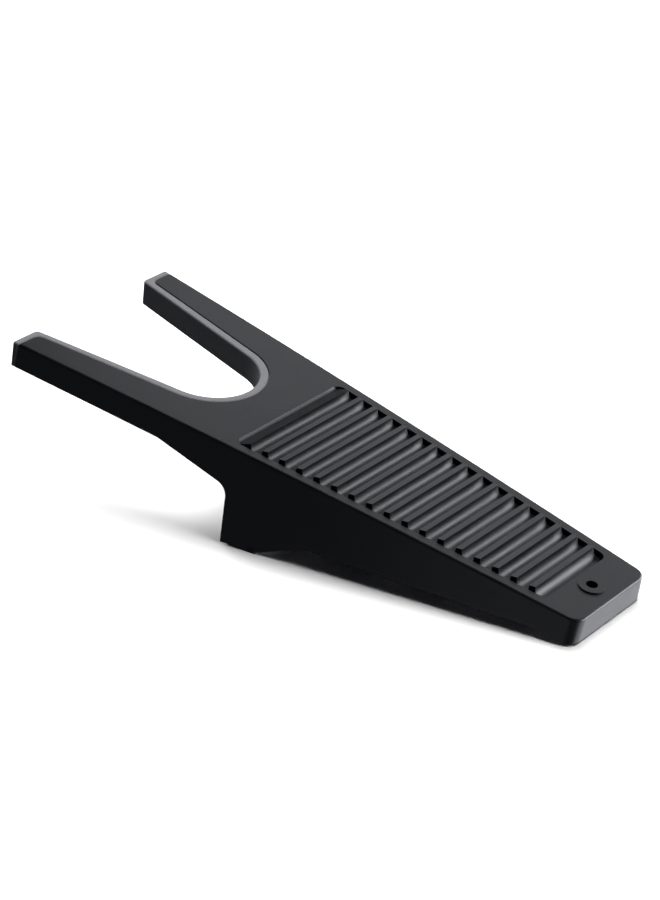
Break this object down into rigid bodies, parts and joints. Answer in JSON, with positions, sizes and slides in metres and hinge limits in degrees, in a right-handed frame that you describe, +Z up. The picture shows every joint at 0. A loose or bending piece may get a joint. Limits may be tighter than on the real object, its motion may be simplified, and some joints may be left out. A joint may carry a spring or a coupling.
{
  "type": "boot jack",
  "caption": "Inclined moulded boot jack: rubber-lined U notch at the raised end, prop underneath, ribbed foot tread, tail pad with hanging hole.",
  "frame": {"origin": "centre of the footprint on the floor", "axes": "+Z up; +X along the length, from the tine tips (-X) to the tail (+X); the jack is symmetric about the XZ plane"},
  "size_m": [0.343, 0.1256, 0.0816],
  "materials": {
    "body": "black moulded plastic, fine satin grain",
    "liner": "mid-grey soft rubber, matte",
    "pads": "black rubber, matte"
  },
  "bodies": {
    "root": {"body_shell": "body", "notch_liner": "liner", "prop_pad_left": "pads", "prop_pad_right": "pads", "tail_pad": "pads"}
  },
  "joints": []
}
